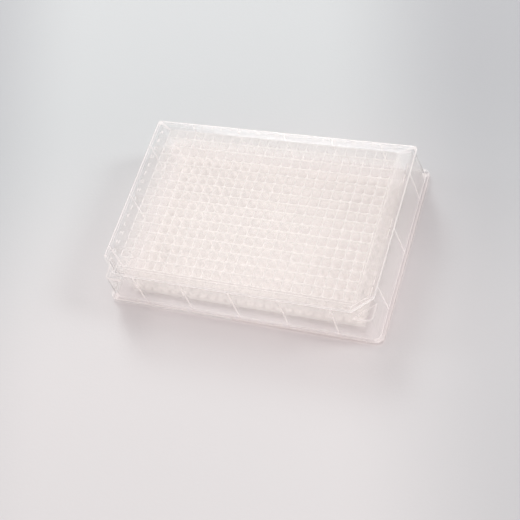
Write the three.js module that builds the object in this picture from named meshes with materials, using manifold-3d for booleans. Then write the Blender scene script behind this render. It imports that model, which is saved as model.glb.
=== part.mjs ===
// A 384-well deep-well plate, moulded in one piece of clear natural polypropylene.
//
// Millimetres, +Z up. The origin is the middle of the footprint on the resting surface.
// +X runs along the row of columns (1 to 24), +Y runs from the last row to the first,
// so the two notched corners are at the -Y side.

import * as THREE from 'three';
import { mergeVertices } from 'three/addons/utils/BufferGeometryUtils.js';
import Module from 'manifold-3d';

// ---------------------------------------------------------------------------
// Driving sizes
// ---------------------------------------------------------------------------

// Well field
const columns = 24;
const rows = 16;
const wellPitch = 4.5;
const wellWallAtMouth = 0.7; // between two wells, at the deck
const wellWallAtFoot = 1.1; // between two wells, where their floors start
const wellFloorThickness = 0.8; // across the sloping floor of a well
const blockSkin = 0.35; // added outside the outermost half walls

// Underside of the well block: one shallow pyramid under each well
const tipClearance = 1.2; // resting surface to the points of the pyramids
const pyramidHeight = 0.6;

// Deck
const plateHeight = 23.6;
const deckThickness = 1.2;
const deckMarginEnd = 7.7; // well field to deck edge, at the two short ends
const deckMarginSide = 4.3; // well field to deck edge, at the two long sides
const deckCornerRadius = 1.5;
const deckOverhang = 0.8; // deck edge past the top of the skirt wall

// Skirt and flange
const skirtThickness = 1.2;
const wallTopCornerRadius = 1.9;
const wallFootCornerRadius = 2.9;
const sharpestInsideRadius = 0.3;
const flangeReachEnd = 2.18; // deck edge to the outside of the flange, at the ends
const flangeReachSide = 2.44; // the same at the long sides
const flangeHeight = 2.4;
const flangeLedge = 1.5; // flat step between the flange and the foot of the wall
const flangeThickness = 1.4;
const flangeCornerRadius = 3.2;
const stackingRecess = 1.0; // depth of the step that takes the deck of a plate below

// Notched corners beside the last row
const notchLeg = 7.8; // length cut off each deck edge
const notchDepth = 7.2; // deck to the little corner shelf

// Ribs on the outside of the skirt, gussets across the end channels
const ribThickness = 1.0;
const ribFootProud = 0.25; // past the foot of the wall, on the ledge
const ribEveryColumns = 5;
const ribEveryRows = 6;
const gussetThickness = 1.0;
const gussetDepth = 6.0; // below the underside of the deck

// Fineness of the round corners, and how far joined bodies run into each other
const cornerSteps = 6;
const joinDepth = 0.5;
const mergeDistance = 1e-5;

// ---------------------------------------------------------------------------
// Sizes that follow
// ---------------------------------------------------------------------------

const fieldHalfX = (columns * wellPitch) / 2;
const fieldHalfY = (rows * wellPitch) / 2;
const blockHalf = { x: fieldHalfX + blockSkin, y: fieldHalfY + blockSkin };
const deckHalf = { x: fieldHalfX + deckMarginEnd, y: fieldHalfY + deckMarginSide };
const flangeHalf = { x: deckHalf.x + flangeReachEnd, y: deckHalf.y + flangeReachSide };
const deckUnderside = plateHeight - deckThickness;
const shelfTop = plateHeight - notchDepth;

const wallTopHalf = inset(deckHalf, deckOverhang);
const wallFootHalf = inset(flangeHalf, flangeLedge);

const wellMouth = wellPitch - wellWallAtMouth;
const wellFoot = wellPitch - wellWallAtFoot;
const blockBottom = tipClearance + pyramidHeight;
const floorSlope = pyramidHeight / (wellPitch / 2);
const wellTip = tipClearance + wellFloorThickness * Math.hypot(1, floorSlope);
const wellFootHeight = wellTip + (floorSlope * wellFoot) / 2;

function inset(half, distance) {
  return { x: half.x - distance, y: half.y - distance };
}

// Half size and corner radius of the outside of the skirt wall at height z.
function wallAt(z) {
  const t = (z - flangeHeight) / (deckUnderside - flangeHeight);
  return {
    x: THREE.MathUtils.lerp(wallFootHalf.x, wallTopHalf.x, t),
    y: THREE.MathUtils.lerp(wallFootHalf.y, wallTopHalf.y, t),
    radius: THREE.MathUtils.lerp(wallFootCornerRadius, wallTopCornerRadius, t),
  };
}

// Corner radius on the inside of a wall.
function insideRadius(outsideRadius, thickness) {
  return Math.max(outsideRadius - thickness, sharpestInsideRadius);
}

// ---------------------------------------------------------------------------
// Outlines and closed bodies
// ---------------------------------------------------------------------------

// A rectangle with round corners, counter-clockwise from the +X +Y corner.
// With a notch, its two corners at -Y are cut off straight.
function outline(half, radius, notch = 0) {
  const corners = [
    { sx: 1, sy: 1, start: 0 },
    { sx: -1, sy: 1, start: Math.PI / 2 },
    { sx: -1, sy: -1, start: Math.PI },
    { sx: 1, sy: -1, start: (3 * Math.PI) / 2 },
  ];
  const points = [];
  for (const { sx, sy, start } of corners) {
    if (notch > 0 && sy < 0) {
      const onSide = new THREE.Vector2(sx * half.x, -half.y + notch);
      const onFront = new THREE.Vector2(sx * (half.x - notch), -half.y);
      points.push(...(sx < 0 ? [onSide, onFront] : [onFront, onSide]));
      continue;
    }
    for (let i = 0; i <= cornerSteps; i += 1) {
      const angle = start + (i / cornerSteps) * (Math.PI / 2);
      points.push(new THREE.Vector2(
        sx * (half.x - radius) + radius * Math.cos(angle),
        sy * (half.y - radius) + radius * Math.sin(angle),
      ));
    }
  }
  return points;
}

// A prism from a flat outline, between two heights.
function prism(points, bottom, top) {
  const geometry = new THREE.ExtrudeGeometry(new THREE.Shape(points), {
    depth: top - bottom,
    bevelEnabled: false,
  });
  return geometry.translate(0, 0, bottom);
}

// A closed body between two convex outlines that have the same number of points.
function loft(lower, lowerHeight, upper, upperHeight) {
  const count = lower.length;
  const positions = [];
  lower.forEach((point) => positions.push(point.x, point.y, lowerHeight));
  upper.forEach((point) => positions.push(point.x, point.y, upperHeight));
  const faces = [];
  for (let i = 0; i < count; i += 1) {
    const next = (i + 1) % count;
    faces.push(i, next, count + next, i, count + next, count + i);
    if (i > 0 && i < count - 1) {
      faces.push(0, i + 1, i);
      faces.push(count, count + i, count + i + 1);
    }
  }
  return indexed(positions, faces);
}

function indexed(positions, faces) {
  const geometry = new THREE.BufferGeometry();
  geometry.setAttribute('position', new THREE.Float32BufferAttribute(positions, 3));
  geometry.setIndex(faces);
  return geometry;
}

// A plate standing on edge: an outline in the X-Z plane, thick along Y, turned about Z.
function standingPlate(points, thickness, turn, across) {
  const geometry = new THREE.ExtrudeGeometry(new THREE.Shape(points), {
    depth: thickness,
    bevelEnabled: false,
  });
  geometry.translate(0, 0, -thickness / 2);
  geometry.rotateX(Math.PI / 2);
  geometry.translate(0, across, 0);
  return geometry.rotateZ(turn);
}

// ---------------------------------------------------------------------------
// Cutting and joining
// ---------------------------------------------------------------------------

const wasm = await Module();
wasm.setup();

function toSolid(geometry) {
  const bare = geometry.clone();
  bare.deleteAttribute('normal');
  bare.deleteAttribute('uv');
  const merged = mergeVertices(bare, mergeDistance);
  return new wasm.Manifold(new wasm.Mesh({
    numProp: 3,
    vertProperties: new Float32Array(merged.attributes.position.array),
    triVerts: new Uint32Array(merged.index.array),
  }));
}

function toGeometry(solid) {
  const mesh = solid.getMesh();
  const geometry = indexed(Array.from(mesh.vertProperties), Array.from(mesh.triVerts));
  geometry.computeVertexNormals();
  return geometry;
}

function join(solids) {
  return solids.reduce((whole, solid) => whole.add(solid));
}

// ---------------------------------------------------------------------------
// Skirt
// ---------------------------------------------------------------------------

// The corner pieces that a notch takes away, between two heights. Its straight cut lies
// `inward` inside the cut of the deck.
function notchCutters(inward, bottom, top) {
  const reach = 2 * notchLeg;
  return [-1, 1].map((sx) => {
    const along = new THREE.Vector2(sx, 1).normalize();
    const outward = new THREE.Vector2(sx, -1).normalize();
    const middle = new THREE.Vector2(sx * (deckHalf.x - notchLeg / 2), -deckHalf.y + notchLeg / 2)
      .addScaledVector(outward, -inward);
    const corner = (alongBy, outBy) => middle.clone()
      .addScaledVector(along, alongBy).addScaledVector(outward, outBy);
    const points = [corner(-reach, 0), corner(-reach, reach), corner(reach, reach), corner(reach, 0)];
    return toSolid(prism(sx < 0 ? points.reverse() : points, bottom, top));
  });
}

function skirtOutside() {
  const low = flangeHeight - joinDepth;
  const high = deckUnderside + joinDepth;
  const foot = wallAt(low);
  const head = wallAt(high);
  const wall = toSolid(loft(outline(foot, foot.radius), low, outline(head, head.radius), high));
  const notched = notchCutters(deckOverhang, shelfTop, plateHeight)
    .reduce((body, cutter) => body.subtract(cutter), wall);
  const flange = toSolid(prism(outline(flangeHalf, flangeCornerRadius), 0, flangeHeight));
  return flange.add(notched);
}

function skirtInside() {
  const low = stackingRecess - joinDepth;
  const foot = wallAt(low);
  const head = wallAt(deckUnderside);
  const hollow = toSolid(loft(
    outline(inset(foot, skirtThickness), insideRadius(foot.radius, skirtThickness)),
    low,
    outline(inset(head, skirtThickness), insideRadius(head.radius, skirtThickness)),
    deckUnderside,
  ));
  const shelfUnderside = shelfTop - skirtThickness;
  const notched = notchCutters(deckOverhang + skirtThickness, shelfUnderside, plateHeight)
    .reduce((body, cutter) => body.subtract(cutter), hollow);
  const recessHalf = inset(flangeHalf, flangeThickness);
  const recessRadius = insideRadius(flangeCornerRadius, flangeThickness);
  const recess = toSolid(prism(outline(recessHalf, recessRadius), -joinDepth, stackingRecess));
  return notched.add(recess);
}

function deck() {
  return toSolid(prism(outline(deckHalf, deckCornerRadius, notchLeg), deckUnderside, plateHeight));
}

// ---------------------------------------------------------------------------
// Ribs and gussets
// ---------------------------------------------------------------------------

// Places at whole multiples of a number of wells, out from the middle.
function ribPlaces(wells, everyWells) {
  const perSide = Math.floor((wells / 2 - 1) / everyWells);
  const places = [];
  for (let i = -perSide; i <= perSide; i += 1) {
    places.push(i * everyWells * wellPitch);
  }
  return places;
}

// A rib runs from the edge of the deck down to the ledge of the flange.
function ribs() {
  const low = flangeHeight - joinDepth;
  const high = deckUnderside + joinDepth;
  const profile = (axis) => {
    const outerAt = (z) => THREE.MathUtils.mapLinear(
      z, flangeHeight, deckUnderside, wallFootHalf[axis] + ribFootProud, deckHalf[axis],
    );
    return [
      new THREE.Vector2(wallAt(low)[axis] - skirtThickness / 2, low),
      new THREE.Vector2(outerAt(low), low),
      new THREE.Vector2(outerAt(high), high),
      new THREE.Vector2(wallAt(high)[axis] - skirtThickness / 2, high),
    ];
  };
  const bodies = [];
  for (const place of ribPlaces(columns, ribEveryColumns)) {
    bodies.push(standingPlate(profile('y'), ribThickness, Math.PI / 2, -place));
    bodies.push(standingPlate(profile('y'), ribThickness, -Math.PI / 2, place));
  }
  for (const place of ribPlaces(rows, ribEveryRows)) {
    bodies.push(standingPlate(profile('x'), ribThickness, 0, place));
    bodies.push(standingPlate(profile('x'), ribThickness, Math.PI, -place));
  }
  return join(bodies.map(toSolid));
}

// A gusset ties the end of the well block to the skirt, just under the deck.
function gussets() {
  const low = deckUnderside - gussetDepth;
  const high = deckUnderside + joinDepth;
  const profile = [
    new THREE.Vector2(blockHalf.x - joinDepth, low),
    new THREE.Vector2(wallAt(low).x - skirtThickness / 2, low),
    new THREE.Vector2(wallAt(high).x - skirtThickness / 2, high),
    new THREE.Vector2(blockHalf.x - joinDepth, high),
  ];
  const bodies = [];
  for (const place of ribPlaces(rows, ribEveryRows)) {
    bodies.push(standingPlate(profile, gussetThickness, 0, place));
    bodies.push(standingPlate(profile, gussetThickness, Math.PI, -place));
  }
  return join(bodies.map(toSolid));
}

// ---------------------------------------------------------------------------
// Well block
// ---------------------------------------------------------------------------

// Where the walls between wells lie along one axis. The two outermost lines are the
// faces of the block itself.
function wallLines(wells, halfSize) {
  const lines = [];
  for (let i = 0; i <= wells; i += 1) {
    lines.push((i - wells / 2) * wellPitch);
  }
  lines[0] = -halfSize;
  lines[wells] = halfSize;
  return lines;
}

function wellCentres(wells) {
  return Array.from({ length: wells }, (_, i) => (i - (wells - 1) / 2) * wellPitch);
}

// The block with one pyramid under each well, its top inside the thickness of the deck.
function wellBlock() {
  const top = plateHeight - deckThickness / 2;
  const xs = wallLines(columns, blockHalf.x);
  const ys = wallLines(rows, blockHalf.y);
  const positions = [];
  const faces = [];
  const edgePoint = (i, j) => j * (columns + 1) + i;
  ys.forEach((y) => xs.forEach((x) => positions.push(x, y, blockBottom)));
  wellCentres(rows).forEach((y, j) => wellCentres(columns).forEach((x, i) => {
    const tip = positions.length / 3;
    positions.push(x, y, tipClearance);
    const ring = [edgePoint(i, j), edgePoint(i, j + 1), edgePoint(i + 1, j + 1), edgePoint(i + 1, j)];
    ring.forEach((point, k) => faces.push(point, ring[(k + 1) % ring.length], tip));
  }));
  const first = positions.length / 3;
  positions.push(-blockHalf.x, -blockHalf.y, top, blockHalf.x, -blockHalf.y, top);
  positions.push(blockHalf.x, blockHalf.y, top, -blockHalf.x, blockHalf.y, top);
  const topCorners = [first, first + 1, first + 2, first + 3];
  faces.push(first, first + 1, first + 2, first, first + 2, first + 3);
  const lowerEdges = [
    xs.map((_, i) => edgePoint(i, 0)),
    ys.map((_, j) => edgePoint(columns, j)),
    xs.map((_, i) => edgePoint(columns - i, rows)),
    ys.map((_, j) => edgePoint(0, rows - j)),
  ];
  lowerEdges.forEach((edge, side) => {
    const from = topCorners[side];
    const to = topCorners[(side + 1) % topCorners.length];
    for (let i = 0; i + 1 < edge.length; i += 1) {
      faces.push(edge[i], edge[i + 1], from);
    }
    faces.push(edge[edge.length - 1], to, from);
  });
  return toSolid(indexed(positions, faces));
}

// Everything that the wells leave empty: tapered square shafts that end in a pyramid.
function wellSpaces() {
  const top = plateHeight + joinDepth;
  const mouthHalf = THREE.MathUtils.mapLinear(
    top, wellFootHeight, plateHeight, wellFoot / 2, wellMouth / 2,
  );
  const square = [[-1, -1], [1, -1], [1, 1], [-1, 1]];
  const positions = [];
  const faces = [];
  for (const y of wellCentres(rows)) {
    for (const x of wellCentres(columns)) {
      const first = positions.length / 3;
      square.forEach(([sx, sy]) => positions.push(x + sx * mouthHalf, y + sy * mouthHalf, top));
      square.forEach(([sx, sy]) => {
        positions.push(x + (sx * wellFoot) / 2, y + (sy * wellFoot) / 2, wellFootHeight);
      });
      positions.push(x, y, wellTip);
      const tip = first + 8;
      faces.push(first, first + 1, first + 2, first, first + 2, first + 3);
      for (let k = 0; k < 4; k += 1) {
        const next = (k + 1) % 4;
        const [upper, upperNext] = [first + k, first + next];
        const [lower, lowerNext] = [first + 4 + k, first + 4 + next];
        faces.push(lower, lowerNext, upperNext, lower, upperNext, upper);
        faces.push(lowerNext, lower, tip);
      }
    }
  }
  return toSolid(indexed(positions, faces));
}

// ---------------------------------------------------------------------------
// The plate
// ---------------------------------------------------------------------------

function wellPlate() {
  const shell = skirtOutside().add(deck()).add(ribs()).subtract(skirtInside());
  return shell.add(wellBlock()).add(gussets()).subtract(wellSpaces());
}

const clearPolypropylene = new THREE.MeshStandardMaterial({
  color: 0xe6e0da,
  roughness: 0.32,
  metalness: 0,
});
clearPolypropylene.name = 'clear_polypropylene';

const plate = new THREE.Mesh(toGeometry(wellPlate()), clearPolypropylene);
plate.name = 'well_plate';

const part = new THREE.Group();
part.name = 'deep_well_plate';
part.add(plate);

export default part;
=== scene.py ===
"""A clear deep-well microplate on a pale studio floor.

The moulding is one watertight mesh: a skirt swept through a stack of outlines, a grid of
wells made with Geometry Nodes, and stiffeners and raised characters joined to it.
"""

import logging
import math
from dataclasses import dataclass
from enum import Enum
from typing import Callable

import bmesh
import bpy
from mathutils import Matrix, Vector

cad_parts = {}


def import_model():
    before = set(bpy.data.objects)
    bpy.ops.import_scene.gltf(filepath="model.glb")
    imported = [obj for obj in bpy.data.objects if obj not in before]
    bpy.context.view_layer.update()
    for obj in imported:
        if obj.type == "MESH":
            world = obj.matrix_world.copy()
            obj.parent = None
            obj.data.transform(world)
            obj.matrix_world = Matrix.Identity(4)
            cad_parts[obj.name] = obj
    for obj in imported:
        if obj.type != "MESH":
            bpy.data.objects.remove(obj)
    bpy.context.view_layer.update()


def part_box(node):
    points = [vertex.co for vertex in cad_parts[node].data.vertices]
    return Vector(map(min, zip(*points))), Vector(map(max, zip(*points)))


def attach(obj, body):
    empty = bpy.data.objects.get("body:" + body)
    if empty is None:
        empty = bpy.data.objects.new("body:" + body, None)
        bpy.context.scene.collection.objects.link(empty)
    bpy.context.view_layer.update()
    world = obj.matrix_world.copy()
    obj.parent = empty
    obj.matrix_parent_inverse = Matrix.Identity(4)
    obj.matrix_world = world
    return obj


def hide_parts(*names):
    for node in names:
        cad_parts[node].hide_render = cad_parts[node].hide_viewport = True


log = logging.getLogger("well_plate")

MM = 0.001
NODE = "well_plate"
WELD = 1e-6
GRAIN_DETAIL = 1.0
WHITE = (1.0, 1.0, 1.0)
# A Mix node's factor and its two inputs, for numbers and for colours.
NUMBER_SOCKETS = (0, 2, 3)
COLOUR_SOCKETS = (0, 6, 7)

Point = tuple[float, float, float]
Tint = tuple[float, float, float]
Face = tuple[int, ...]
Profile = list[tuple[float, float]]
FaceTest = Callable[[bpy.types.MeshPolygon], bool]


class Mask(Enum):
    """Face masks that the plate's material reads. The thin edge and well lip masks mark painted
    highlights.
    """

    EDGE = "thin_edge"
    WELL = "well_wall"
    LIP = "well_lip"
    FLOOR = "well_floor"


# ---------------------------------------------------------------------------
# Mesh helpers
# ---------------------------------------------------------------------------


def mesh_object(name: str, points: list[Point], faces: list[Face]) -> bpy.types.Object:
    """Make a mesh object at the origin.

    Args:
        name: Name of the object and of its mesh.
        points: Vertex places in metres.
        faces: Vertex indices of each face, counter-clockwise seen from outside.

    Returns:
        The new object, linked to the scene.
    """
    mesh = bpy.data.meshes.new(name)
    mesh.from_pydata(points, [], faces)
    mesh.update()
    return linked(bpy.data.objects.new(name, mesh))


def linked(thing: bpy.types.Object) -> bpy.types.Object:
    """Link an object to the scene and return it."""
    bpy.context.scene.collection.objects.link(thing)
    return thing


def discard(thing: bpy.types.Object) -> None:
    """Remove a helper object and its data.

    Args:
        thing: The helper object.
    """
    data = thing.data
    bpy.data.objects.remove(thing, do_unlink=True)
    if isinstance(data, bpy.types.Mesh) and data.users == 0:
        bpy.data.meshes.remove(data)


def apply_modifiers(thing: bpy.types.Object) -> None:
    """Replace an object's mesh by its evaluated mesh and drop its modifiers.

    Args:
        thing: The mesh object.
    """
    graph = bpy.context.evaluated_depsgraph_get()
    baked = bpy.data.meshes.new_from_object(thing.evaluated_get(graph))
    old = thing.data
    thing.modifiers.clear()
    thing.data = baked
    bpy.data.meshes.remove(old)


def weld(thing: bpy.types.Object, distance: float = WELD) -> None:
    """Merge doubled vertices, drop empty faces and point the faces outwards.

    Args:
        thing: The mesh object to clean.
        distance: Vertices closer than this become one, in metres.
    """
    work = bmesh.new()
    work.from_mesh(thing.data)
    bmesh.ops.remove_doubles(work, verts=work.verts, dist=distance)
    bmesh.ops.dissolve_degenerate(work, edges=work.edges, dist=distance)
    bmesh.ops.recalc_face_normals(work, faces=work.faces)
    work.to_mesh(thing.data)
    work.free()


def open_edges(thing: bpy.types.Object) -> int:
    """Count the edges that don't lie between exactly two faces.

    Args:
        thing: The mesh object.

    Returns:
        How many there are.
    """
    work = bmesh.new()
    work.from_mesh(thing.data)
    count = sum(1 for edge in work.edges if not edge.is_manifold)
    work.free()
    return count


def report(title: str, thing: bpy.types.Object) -> None:
    """Log how many faces and open edges a mesh has."""
    log.info("%s: %d faces, %d open edges", title, len(thing.data.polygons), open_edges(thing))


def merged(name: str, things: list[bpy.types.Object]) -> bpy.types.Object:
    """Copy several mesh objects into one and discard them.

    Args:
        name: Name of the new object.
        things: Mesh objects at the origin.

    Returns:
        The new object.
    """
    work = bmesh.new()
    for thing in things:
        work.from_mesh(thing.data)
        discard(thing)
    mesh = bpy.data.meshes.new(name)
    work.to_mesh(mesh)
    work.free()
    return linked(bpy.data.objects.new(name, mesh))


def fuse(body: bpy.types.Object, other: bpy.types.Object) -> None:
    """Join a closed mesh to another with a boolean, and discard it.

    Args:
        body: The mesh that stays.
        other: The mesh that becomes part of it.
    """
    modifier = body.modifiers.new("fuse", "BOOLEAN")
    modifier.operation = "UNION"
    modifier.solver = "MANIFOLD"
    modifier.object = other
    apply_modifiers(body)
    discard(other)


def mark_faces(mesh: bpy.types.Mesh, name: Mask, test: FaceTest) -> None:
    """Store a face mask that is 1 on the faces that pass a test and 0 elsewhere.

    Args:
        mesh: The mesh.
        name: The mask.
        test: Says of a face whether it is marked.
    """
    mask = mesh.attributes.new(name.value, "FLOAT", "FACE")
    for polygon in mesh.polygons:
        mask.data[polygon.index].value = float(test(polygon))


def face_width(mesh: bpy.types.Mesh, polygon: bpy.types.MeshPolygon) -> float:
    """Width of a long narrow face, in metres, or about half the side of a square one.

    Args:
        mesh: The mesh that the face belongs to.
        polygon: The face.

    Returns:
        The width, 0 for a face without an outline.
    """
    corners = [mesh.vertices[index].co for index in polygon.vertices]
    round_trip = sum((a - b).length for a, b in zip(corners, corners[1:] + corners[:1]))
    return 2 * polygon.area / round_trip if round_trip else 0.0


# ---------------------------------------------------------------------------
# Node helpers
# ---------------------------------------------------------------------------


class NodeBuilder:
    """Adds nodes to a tree and connects them."""

    def __init__(self, tree: bpy.types.NodeTree) -> None:
        """Work on a tree."""
        self.tree = tree

    def node(self, kind: str, **settings: object) -> bpy.types.Node:
        """Add a node and set its properties.

        Args:
            kind: Blender's name for the kind of node.
            **settings: Its properties.

        Returns:
            The node.
        """
        made = self.tree.nodes.new(kind)
        for key, value in settings.items():
            setattr(made, key, value)
        return made

    def feed(self, socket: bpy.types.NodeSocket, value: object) -> None:
        """Link a socket to another, or give it a plain value.

        Args:
            socket: The input to set.
            value: A socket to link it to, or a plain value.
        """
        if isinstance(value, bpy.types.NodeSocket):
            self.tree.links.new(value, socket)
        else:
            socket.default_value = value

    def math(self, operation: str, *values: object) -> bpy.types.NodeSocket:
        """Add a Math node.

        Args:
            operation: Name of the operation.
            *values: Numbers or sockets, one for each input.

        Returns:
            The node's output.
        """
        made = self.node("ShaderNodeMath", operation=operation)
        for socket, value in zip(made.inputs, values):
            self.feed(socket, value)
        return made.outputs[0]

    def mix(self, share: object, low: object, high: object) -> bpy.types.NodeSocket:
        """Add a node that goes from one number to another as the share goes from 0 to 1.

        Args:
            share: Number or socket, from 0 to 1.
            low: Number or socket for share 0.
            high: Number or socket for share 1.

        Returns:
            The node's output.
        """
        made = self.node("ShaderNodeMix")
        for index, value in zip(NUMBER_SOCKETS, (share, low, high)):
            self.feed(made.inputs[index], value)
        return made.outputs[0]


class NodeTree(NodeBuilder):
    """A Geometry Nodes tree with named inputs."""

    def __init__(self, name: str, **kinds: str) -> None:
        """Start a geometry tree with one geometry output.

        Args:
            name: Name of the tree.
            **kinds: Kind of each further input, such as "Float", with underscores for
                spaces in the inputs' names.
        """
        super().__init__(bpy.data.node_groups.new(name, "GeometryNodeTree"))
        for way in ("INPUT", "OUTPUT"):
            self.tree.interface.new_socket(
                "Geometry", in_out=way, socket_type="NodeSocketGeometry",
            )
        self.inputs: dict[str, str] = {}
        for key, kind in kinds.items():
            title = key.replace("_", " ")
            socket = self.tree.interface.new_socket(
                title, in_out="INPUT", socket_type="NodeSocket" + kind,
            )
            self.inputs[title] = socket.identifier
        self.given = self.node("NodeGroupInput")
        self.result = self.node("NodeGroupOutput")

    def wire(self, *routes: tuple[bpy.types.Node, str, bpy.types.Node, str]) -> None:
        """Connect nodes, each route from a node's output to a node's input."""
        for source, output, target, entry in routes:
            self.tree.links.new(source.outputs[output], target.inputs[entry])

    def run(self, name: str, values: dict[str, object]) -> bpy.types.Object:
        """Evaluate the tree on an empty mesh and keep the result as a plain mesh.

        Args:
            name: Name of the new object.
            values: Value of each named input.

        Returns:
            A mesh object without modifiers.
        """
        thing = mesh_object(name, [], [])
        modifier = thing.modifiers.new(name, "NODES")
        modifier.node_group = self.tree
        for key, value in values.items():
            modifier[self.inputs[key]] = value
        apply_modifiers(thing)
        return thing


def grid_tree() -> NodeTree:
    """Build the tree that sets one cell at each crossing of a grid of columns and rows.

    Returns:
        The tree.
    """
    tree = NodeTree(
        "well_grid", Cell="Object", Columns="Int", Rows="Int", Length="Float", Width="Float",
        Weld="Float", Material="Material",
    )
    grid = tree.node("GeometryNodeMeshGrid")
    cell = tree.node("GeometryNodeObjectInfo")
    place = tree.node("GeometryNodeInstanceOnPoints")
    realize = tree.node("GeometryNodeRealizeInstances")
    join_edges = tree.node("GeometryNodeMergeByDistance")
    dress = tree.node("GeometryNodeSetMaterial")
    tree.wire(
        (tree.given, "Columns", grid, "Vertices X"),
        (tree.given, "Rows", grid, "Vertices Y"),
        (tree.given, "Length", grid, "Size X"),
        (tree.given, "Width", grid, "Size Y"),
        (tree.given, "Cell", cell, "Object"),
        (grid, "Mesh", place, "Points"),
        (cell, "Geometry", place, "Instance"),
        (place, "Instances", realize, "Geometry"),
        (realize, "Geometry", join_edges, "Geometry"),
        (tree.given, "Weld", join_edges, "Distance"),
        (join_edges, "Geometry", dress, "Geometry"),
        (tree.given, "Material", dress, "Material"),
        (dress, "Geometry", tree.result, "Geometry"),
    )
    return tree


def stiffener_tree() -> NodeTree:
    """Build the tree that sets a standing plate along one side, and again on the far side.

    Returns:
        The tree.
    """
    tree = NodeTree(
        "stiffener_row", Plate="Object", Count="Int", First="Vector", Step="Vector",
        Half_Turn="Vector", Material="Material",
    )
    line = tree.node("GeometryNodeMeshLine", mode="OFFSET")
    plate = tree.node("GeometryNodeObjectInfo")
    place = tree.node("GeometryNodeInstanceOnPoints")
    realize = tree.node("GeometryNodeRealizeInstances")
    turned = tree.node("GeometryNodeTransform")
    both = tree.node("GeometryNodeJoinGeometry")
    dress = tree.node("GeometryNodeSetMaterial")
    tree.wire(
        (tree.given, "Count", line, "Count"),
        (tree.given, "First", line, "Start Location"),
        (tree.given, "Step", line, "Offset"),
        (tree.given, "Plate", plate, "Object"),
        (line, "Mesh", place, "Points"),
        (plate, "Geometry", place, "Instance"),
        (place, "Instances", realize, "Geometry"),
        (realize, "Geometry", turned, "Geometry"),
        (tree.given, "Half Turn", turned, "Rotation"),
        (realize, "Geometry", both, "Geometry"),
        (turned, "Geometry", both, "Geometry"),
        (both, "Geometry", dress, "Geometry"),
        (tree.given, "Material", dress, "Material"),
        (dress, "Geometry", tree.result, "Geometry"),
    )
    return tree


# ---------------------------------------------------------------------------
# Sizes that the sub-assemblies share
# ---------------------------------------------------------------------------


@dataclass(frozen=True)
class PlateSizes:
    """Sizes of the moulding, in metres. The overall box comes from the CAD frame."""

    half_length: float
    half_width: float
    height: float
    columns: int = 24
    rows: int = 16
    pitch: float = 4.5 * MM
    block_skin: float = 0.35 * MM
    block_bottom: float = 1.8 * MM
    deck_thickness: float = 1.2 * MM
    flange_reach_end: float = 2.18 * MM
    flange_reach_side: float = 2.44 * MM
    deck_overhang: float = 0.8 * MM
    skirt_thickness: float = 1.2 * MM
    flange_height: float = 2.4 * MM
    flange_ledge: float = 1.5 * MM
    flange_thickness: float = 1.4 * MM
    stacking_recess: float = 1.0 * MM
    notch_leg: float = 7.8 * MM
    notch_depth: float = 7.2 * MM
    rib_every_columns: int = 5
    rib_every_rows: int = 6

    @classmethod
    def from_frame(cls) -> "PlateSizes":
        """Read the overall box of the CAD node."""
        low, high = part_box(NODE)
        return cls((high[0] - low[0]) / 2, (high[1] - low[1]) / 2, high[2] - low[2])

    @property
    def field(self) -> Vector:
        """Half length and half width of the grid of wells."""
        return Vector((self.columns * self.pitch / 2, self.rows * self.pitch / 2))

    @property
    def deck(self) -> Vector:
        """Half length and half width of the deck."""
        reach = Vector((self.flange_reach_end, self.flange_reach_side))
        return Vector((self.half_length, self.half_width)) - reach

    @property
    def flange(self) -> Vector:
        """Half length and half width of the flange."""
        return Vector((self.half_length, self.half_width))

    @property
    def deck_underside(self) -> float:
        """Height of the underside of the deck."""
        return self.height - self.deck_thickness

    @property
    def shelf(self) -> float:
        """Height of the little shelves in the notched corners."""
        return self.height - self.notch_depth

    def wall(self, height: float) -> Vector:
        """Half length and half width of the outside of the skirt wall at one height.

        Args:
            height: Height above the table, in metres.

        Returns:
            The half length and the half width, in metres.
        """
        top = self.deck - Vector((1, 1)) * self.deck_overhang
        foot = self.flange - Vector((1, 1)) * self.flange_ledge
        share = (height - self.flange_height) / (self.deck_underside - self.flange_height)
        return foot.lerp(top, share)

    def notch_cut(self, inward: float) -> float:
        """Sum of X and Y at which a corner is cut, for a cut that lies inward of the deck's."""
        return self.deck.x + self.deck.y - self.notch_leg - inward * math.sqrt(2)

    def stiffener_step(self, wells: int, every: int) -> tuple[int, float]:
        """How many stiffeners a side has, and the distance between two of them."""
        return 2 * ((wells // 2 - 1) // every) + 1, every * self.pitch


# ---------------------------------------------------------------------------
# Skirt and deck
# ---------------------------------------------------------------------------


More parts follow.
